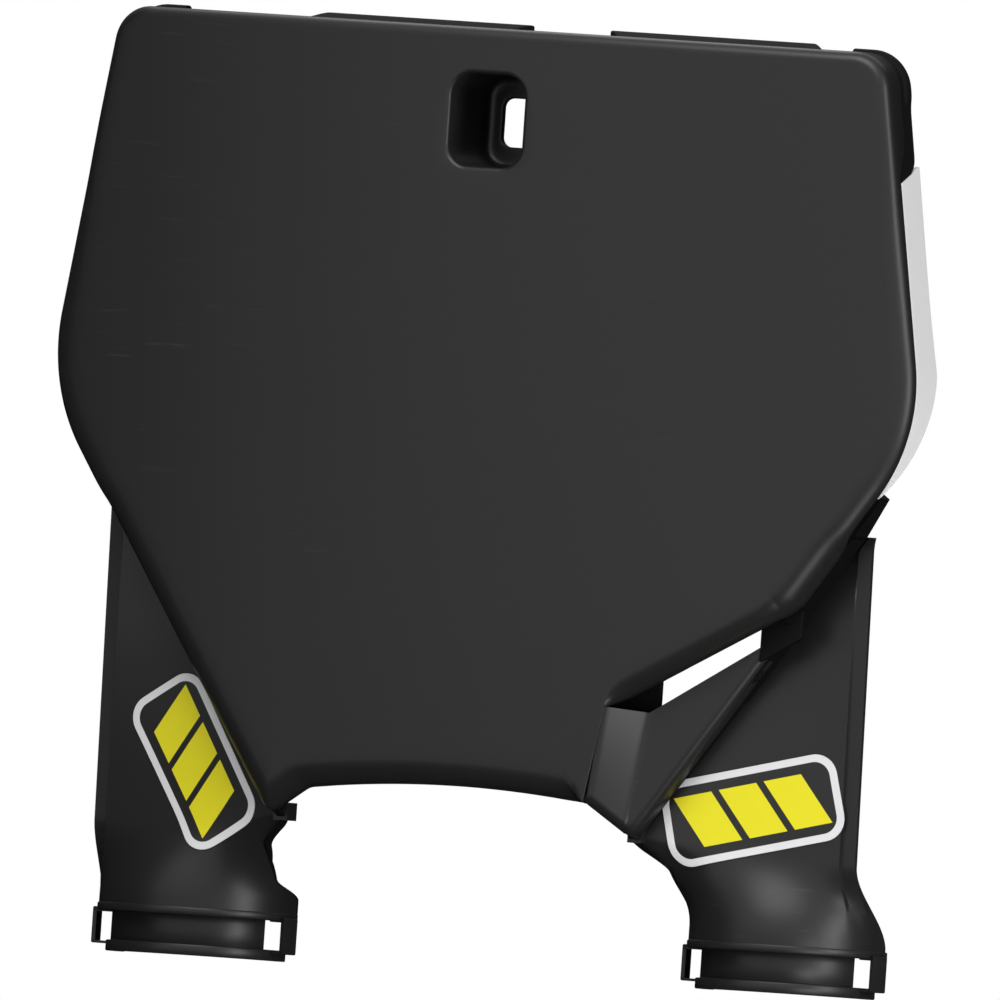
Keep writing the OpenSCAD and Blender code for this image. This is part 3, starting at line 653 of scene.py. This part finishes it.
def side_panel():
    """Pale panel of the right side wall, along the outline from its sloped top end round the wide bend. It starts
    at the lip of the roll and runs back to a rear edge that bellies at the bend and comes forward to a point
    at the low end. Each row blends from the front edge (back = 0) to the rear edge (back = 1)."""
    top_steps, bend_steps, no_fill = 4, 48, 1e6
    corners = [(TOP_HALF, FACE_TOP, TOP_CORNER_R, top_steps), (WIDE_HALF, WIDE_Z, WIDE_CORNER_R, bend_steps),
               (LOW_HALF, LOW_Z, 2.5, 3), (-LOW_HALF, FACE_TOP, 1, 1)]

    def path(d, top):
        """The straight side down from the top, then the arc of the wide bend."""
        arc = outline(corners, d, no_fill)[top_steps + 1:top_steps + bend_steps + 2]
        z = np.linspace(top, arc[0][1], 30)[:-1]
        return np.vstack([np.column_stack([side_x(z) - d * math.hypot(1, SIDE_SLOPE), z]), arc])

    end = path(0, PANEL_TOP_Z)[-1]

    def row(d, shift, back):
        """One row at inset d. The belly is a bell curve of the height about the bend, and the taper a power
        of the distance from the low end."""
        xz = path(d, PANEL_TOP_Z + PANEL_SLOPE * back)
        near = face_y(xz[:, 0]) + PANEL_START + 0.05
        belly = PANEL_BELLY * np.exp(-((xz[:, 1] - WIDE_Z - 4) / BELLY_REACH) ** 2)
        taper = 0.03 + 0.97 * np.minimum(np.linalg.norm(xz - end, axis=1) / TAPER_RUN, 1) ** 0.75
        y = near + (PANEL_DEPTH + belly - near) * back * taper + shift
        return np.column_stack([xz[:, 0], y, xz[:, 1]])

    shares = np.linspace(0.08, 0.98, 10)
    outer = [row(0.5, 0, 0), row(0.15, 0.12, 0), row(0.02, 0.4, 0)]
    outer += [row(0.02, 0, k) for k in shares] + [row(0.15, 0, 0.995), row(0.5, 0, 1)]
    inner = [row(PANEL_T - 0.3, 0, 0), row(PANEL_T, 0.2, 0), row(PANEL_T, 0.4, 0)]
    inner += [row(PANEL_T, 0, k) for k in shares] + [row(PANEL_T, 0, 0.995), row(PANEL_T - 0.3, 0, 1)]
    return [skin(np.array(outer), np.array(inner))]


# Materials -------------------------------------------------------------------------------------

def new_group(name, inputs, outputs):
    group = bpy.data.node_groups.new(name, "ShaderNodeTree")
    for label, kind, value in inputs:
        socket = group.interface.new_socket(label, in_out="INPUT", socket_type=kind)
        socket.default_value = value
    for label, kind in outputs:
        group.interface.new_socket(label, in_out="OUTPUT", socket_type=kind)
    return group, group.nodes.new("NodeGroupInput"), group.nodes.new("NodeGroupOutput")


def maths(tree, operation, a, b=None, c=None, clamp=False):
    """Math node fed by sockets or plain numbers; returns its output."""
    node = tree.nodes.new("ShaderNodeMath")
    node.operation, node.use_clamp = operation, clamp
    for i, value in enumerate((a, b, c)):
        if value is None:
            continue
        if isinstance(value, (int, float)):
            node.inputs[i].default_value = value
        else:
            tree.links.new(value, node.inputs[i])
    return node.outputs[0]


def noise(tree, coords, scale, detail=2.0, roughness=0.5):
    node = tree.nodes.new("ShaderNodeTexNoise")
    node.inputs["Scale"].default_value = scale
    node.inputs["Detail"].default_value = detail
    node.inputs["Roughness"].default_value = roughness
    tree.links.new(coords, node.inputs["Vector"])
    return node.outputs["Fac"]


def moulded_grain():
    """Group: fine spark-eroded mould texture, a slow unevenness of the gloss, and faint handling scuffs."""
    group, source, sink = new_group(
        "moulded_grain",
        [("Vector", "NodeSocketVector", (0, 0, 0)), ("Scuffs", "NodeSocketFloat", 0.3)],
        [("Height", "NodeSocketFloat"), ("Gloss", "NodeSocketFloat"), ("Scuff", "NodeSocketFloat")])
    vector = source.outputs["Vector"]
    fine, coarse = noise(group, vector, 2600, 2.0, 0.6), noise(group, vector, 900, 1.0, 0.5)
    height = maths(group, "ADD", maths(group, "MULTIPLY", fine, 0.6), maths(group, "MULTIPLY", coarse, 0.4))
    group.links.new(height, sink.inputs["Height"])
    group.links.new(noise(group, vector, 22, 3.0, 0.55), sink.inputs["Gloss"])
    stretch = group.nodes.new("ShaderNodeMapping")
    stretch.inputs["Rotation"].default_value = (0.2, 0.5, 0.3)
    stretch.inputs["Scale"].default_value = (40, 260, 900)
    group.links.new(vector, stretch.inputs["Vector"])
    lines = noise(group, stretch.outputs["Vector"], 1.0, 3.0, 0.6)
    patches = noise(group, vector, 14, 2.0, 0.5)
    thin_lines = maths(group, "MULTIPLY_ADD", lines, 9.0, -5.6, True)
    in_patches = maths(group, "MULTIPLY_ADD", patches, 5.0, -2.6, True)
    mask = maths(group, "MULTIPLY", thin_lines, in_patches)
    group.links.new(maths(group, "MULTIPLY", mask, source.outputs["Scuffs"]), sink.inputs["Scuff"])
    return group


def colour_between(tree, factor, low, high):
    node = tree.nodes.new("ShaderNodeMix")
    node.data_type = "RGBA"
    node.inputs["A"].default_value, node.inputs["B"].default_value = (*low, 1), (*high, 1)
    tree.links.new(factor, node.inputs["Factor"])
    return node.outputs["Result"]


def new_material(name):
    material = bpy.data.materials.new(name)
    material.use_nodes = True
    tree = material.node_tree
    return material, tree, tree.nodes["Principled BSDF"]


def grained(tree, shader, scuffs, bump, base, scuffed, rough, spread, distance=0.00003):
    """Feeds a plastic's colour, roughness and bump from the moulded grain group."""
    grain = tree.nodes.new("ShaderNodeGroup")
    grain.node_tree = GRAIN
    grain.inputs["Scuffs"].default_value = scuffs
    coords = tree.nodes.new("ShaderNodeTexCoord")
    tree.links.new(coords.outputs["Object"], grain.inputs["Vector"])
    colour = colour_between(tree, grain.outputs["Scuff"], base, scuffed)
    tree.links.new(colour, shader.inputs["Base Color"])
    roughness = maths(tree, "MULTIPLY_ADD", grain.outputs["Gloss"], spread, rough - spread / 2)
    tree.links.new(roughness, shader.inputs["Roughness"])
    node = tree.nodes.new("ShaderNodeBump")
    node.inputs["Strength"].default_value, node.inputs["Distance"].default_value = bump, distance
    tree.links.new(grain.outputs["Height"], node.inputs["Height"])
    tree.links.new(node.outputs["Normal"], shader.inputs["Normal"])


GRAIN = moulded_grain()


def board_plastic():
    material, tree, shader = new_material("matte_black_board")
    grained(tree, shader, 0.5, 0.35, (0.0125, 0.0125, 0.0128), (0.04, 0.04, 0.04), 0.36, 0.06)
    shader.inputs["Specular IOR Level"].default_value = 0.3
    return material


def recess_plastic_painted_shade():
    """The board's plastic left rougher, in the duct, on the shelf and on the walls behind the edge; its darker base
    colour and weaker specular are painted shade for the shadow there.
    """
    material, tree, shader = new_material("rough_recess_painted_shade")
    grained(tree, shader, 0.2, 0.5, (0.004, 0.004, 0.0042), (0.01, 0.01, 0.01), 0.7, 0.08)
    shader.inputs["Specular IOR Level"].default_value = 0.08
    return material


def panel_plastic():
    material, tree, shader = new_material("pale_panel")
    grained(tree, shader, 0.25, 0.3, (0.68, 0.68, 0.68), (0.45, 0.45, 0.44), 0.5, 0.1)
    shader.inputs["Specular IOR Level"].default_value = 0.35
    return material


def printed_film(name, cx, cz, angle, length):
    """Glossy film: a silver border, a black field and three plain slanted yellow blocks, drawn on the
    film's own length and width by turning Object coordinates about the film's middle. Edges are ramps of
    distance, a tenth of a millimetre wide where the steepness is 8."""
    border, side_margin, end_margin, lean, steep = 2.3, 5.2, 6.5, 0.45, 8.0
    material, tree, shader = new_material(name)
    coords = tree.nodes.new("ShaderNodeTexCoord")
    turn = tree.nodes.new("ShaderNodeMapping")
    turn.vector_type = "TEXTURE"
    turn.inputs["Location"].default_value = (cx * 0.001, 0, cz * 0.001)
    turn.inputs["Rotation"].default_value = (0, -math.radians(angle), 0)
    turn.inputs["Scale"].default_value = (0.001, 0.001, 0.001)
    tree.links.new(coords.outputs["Object"], turn.inputs["Vector"])
    split = tree.nodes.new("ShaderNodeSeparateXYZ")
    tree.links.new(turn.outputs["Vector"], split.inputs["Vector"])
    u, v = split.outputs["X"], split.outputs["Z"]

    def inside(half_u, half_v, r):
        """1 inside a rounded rectangle, 0 outside, with a soft edge a tenth of a millimetre wide."""
        qu = maths(tree, "SUBTRACT", maths(tree, "ABSOLUTE", u), half_u - r)
        qv = maths(tree, "SUBTRACT", maths(tree, "ABSOLUTE", v), half_v - r)
        squares = [maths(tree, "POWER", maths(tree, "MAXIMUM", q, 0.0), 2.0) for q in (qu, qv)]
        corner = maths(tree, "SQRT", maths(tree, "ADD", *squares))
        distance = maths(tree, "ADD", corner, maths(tree, "MINIMUM", maths(tree, "MAXIMUM", qu, qv), 0.0))
        return maths(tree, "MULTIPLY_ADD", maths(tree, "SUBTRACT", distance, r), -steep, 0.5, True)

    def within(value, limit):
        """1 where the value lies between the limit and its negative."""
        return maths(tree, "MULTIPLY_ADD", maths(tree, "ABSOLUTE", value), -steep, steep * limit, True)

    field = inside(length / 2 - border, FILM_W / 2 - border, FILM_R - 2.0)
    period = (length - 2 * end_margin) / 3
    slant = maths(tree, "ADD", u, maths(tree, "MULTIPLY", v, lean))
    # Each block fills 0.84 of its period; the rest is the black gap.
    beat = maths(tree, "FRACT", maths(tree, "MULTIPLY_ADD", slant, 1 / period, 0.5))
    off_middle = maths(tree, "ABSOLUTE", maths(tree, "SUBTRACT", beat, 0.5))
    stripe = maths(tree, "MULTIPLY_ADD", off_middle, -90.0, 38.0, True)
    ends, sides = within(slant, period * 1.5), within(v, FILM_W / 2 - side_margin)
    yellow = maths(tree, "MULTIPLY", maths(tree, "MULTIPLY", ends, sides), stripe)
    silver_field = colour_between(tree, field, (0.62, 0.62, 0.63), (0.012, 0.012, 0.012))
    paint = tree.nodes.new("ShaderNodeMix")
    paint.data_type = "RGBA"
    paint.inputs["B"].default_value = (0.66, 0.60, 0.012, 1)
    tree.links.new(silver_field, paint.inputs["A"])
    tree.links.new(yellow, paint.inputs["Factor"])
    tree.links.new(paint.outputs["Result"], shader.inputs["Base Color"])
    gloss = noise(tree, coords.outputs["Object"], 60, 2.0, 0.5)
    tree.links.new(maths(tree, "MULTIPLY_ADD", gloss, 0.12, 0.28), shader.inputs["Roughness"])
    bump = tree.nodes.new("ShaderNodeBump")
    bump.inputs["Strength"].default_value, bump.inputs["Distance"].default_value = 0.25, 0.00004
    tree.links.new(noise(tree, coords.outputs["Object"], 420, 2.0, 0.5), bump.inputs["Height"])
    tree.links.new(bump.outputs["Normal"], shader.inputs["Normal"])
    shader.inputs["Specular IOR Level"].default_value = 0.35
    return material


# Pieces ----------------------------------------------------------------------------------------
# shade is the rough recess plastic: its darker colour on the shelf, upper walls, leg walls and duct walls is painted
# shade.
black, shade, pale = board_plastic(), recess_plastic_painted_shade(), panel_plastic()
shell = piece("board_shell", board_shell(), black, crease=50)
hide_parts("plate")
piece("board_shelf", shelf(), shade, edge=0.5)
piece("board_upper_walls", upper_wall() + mirrored(upper_wall()), shade, edge=0.4)
(wall_r, leg_r), (wall_l, leg_l) = leg(1), leg(-1)
piece("board_leg_walls", wall_r + mirrored(wall_l), shade)
piece("board_legs", leg_r + tab() + mirrored(leg_l + tab()), black, edge=0.3, crease=30)
piece("board_collars", collar() + mirrored(collar()), black, crease=34)
piece("board_duct_plate", duct_plate(), black, crease=60)
piece("board_duct_walls", duct_walls(), shade, edge=0.3)
right_panel = piece("side_panel_right", side_panel(), pale, edge=0.3)
left_panel = piece("side_panel_left", mirrored(side_panel()), pale, edge=0.3)
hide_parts("panel_right")
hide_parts("panel_left")
right_print = printed_film("film_print_right", *RIGHT_FILM)
right_film = piece("film_right", film(*RIGHT_FILM), right_print, edge=0.15)
film_x, film_z, film_turn, film_length = LEFT_FILM
left_print = printed_film("film_print_left", -film_x, film_z, -film_turn, film_length)
left_film = piece("film_left", mirrored(film(*LEFT_FILM)), left_print, edge=0.15)
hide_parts("sticker_right")
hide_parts("sticker_left")

# Studio: sizes in metres ------------------------------------------------------------------------
MIDDLE = Vector((0, 0, 0.15))
FLOOR_Z, FLOOR_HALF, CARD_X, CARD_FRONT, CARD_REAR, CARD_LOW, CARD_HIGH = -0.06, 0.75, 0.5, -0.62, 0.9, -0.4, 0.9


def softbox(name, azimuth, elevation, distance, width, height, power):
    """Area lamp that faces the middle of the board from the given direction."""
    toward = direction(math.radians(azimuth), math.radians(elevation))
    lamp = bpy.data.objects.new(name, bpy.data.lights.new(name, "AREA"))
    lamp.data.shape, lamp.data.size, lamp.data.size_y, lamp.data.energy = "RECTANGLE", width, height, power
    lamp.location = MIDDLE + toward * distance
    lamp.rotation_mode = "QUATERNION"
    lamp.rotation_quaternion = toward.to_track_quat("Z", "Y")
    bpy.context.scene.collection.objects.link(lamp)


def stage_piece(name, points, colour):
    """Flat four-sided stage surface with a matte finish."""
    mesh = bpy.data.meshes.new(name)
    mesh.from_pydata([tuple(p) for p in points], [], [(0, 1, 2, 3)])
    obj = bpy.data.objects.new(name, mesh)
    bpy.context.scene.collection.objects.link(obj)
    material, _, shader = new_material(name + "_finish")
    shader.inputs["Base Color"].default_value = (*colour, 1)
    shader.inputs["Roughness"].default_value = 0.9
    shader.inputs["Specular IOR Level"].default_value = 0.0
    mesh.materials.append(material)
    return obj


def level(half_x, front, rear, z):
    """Corners of a level rectangle at height z."""
    return [(-half_x, front, z), (half_x, front, z), (half_x, rear, z), (-half_x, rear, z)]


def upright(x, front):
    """Corners of an upright rectangle that runs from the front back to the rear card."""
    return [(x, front, CARD_LOW), (x, CARD_REAR, CARD_LOW), (x, CARD_REAR, CARD_HIGH), (x, front, CARD_HIGH)]


softbox("key_front", 8, 50, 1.7, 1.2, 1.0, 23)
softbox("strip_right", 72, 4, 1.4, 0.4, 0.8, 7.5)
softbox("low_right", 58, -27, 0.4, 0.12, 0.05, 0.18)
softbox("fill_back", 232, 42, 1.8, 1.2, 1.2, 9)
stage_piece("floor", level(FLOOR_HALF, -FLOOR_HALF, FLOOR_HALF, FLOOR_Z), (0.9, 0.9, 0.9))
# Black cards that only reflections see: they keep the white surroundings off the sides, the rear and below.
cards = [stage_piece("card_left", upright(-CARD_X, CARD_FRONT), (0, 0, 0)),
         stage_piece("card_right", upright(CARD_X, -0.02), (0, 0, 0)),
         stage_piece("card_low", level(CARD_X, CARD_FRONT, CARD_REAR, FLOOR_Z + 0.005), (0, 0, 0)),
         stage_piece("card_rear", [(-CARD_X, CARD_REAR, CARD_LOW), (CARD_X, CARD_REAR, CARD_LOW),
                                   (CARD_X, CARD_REAR, CARD_HIGH), (-CARD_X, CARD_REAR, CARD_HIGH)], (0, 0, 0))]
for card in cards:
    card.visible_camera = card.visible_diffuse = card.visible_shadow = card.visible_transmission = False

world = bpy.data.worlds.new("studio")
bpy.context.scene.world = world
world.use_nodes = True
tree = world.node_tree
background = tree.nodes["Background"]
rays = tree.nodes.new("ShaderNodeLightPath")
seen = maths(tree, "ADD", rays.outputs["Is Camera Ray"], rays.outputs["Is Glossy Ray"])
seen = maths(tree, "ADD", seen, rays.outputs["Is Transmission Ray"], clamp=True)
background.inputs["Color"].default_value = (1, 1, 1, 1)
# White where the world is seen or mirrored, a quarter of that where it lights the board.
tree.links.new(maths(tree, "MULTIPLY_ADD", seen, 0.75, 0.25), background.inputs["Strength"])
bpy.context.scene.view_settings.view_transform = "Standard"
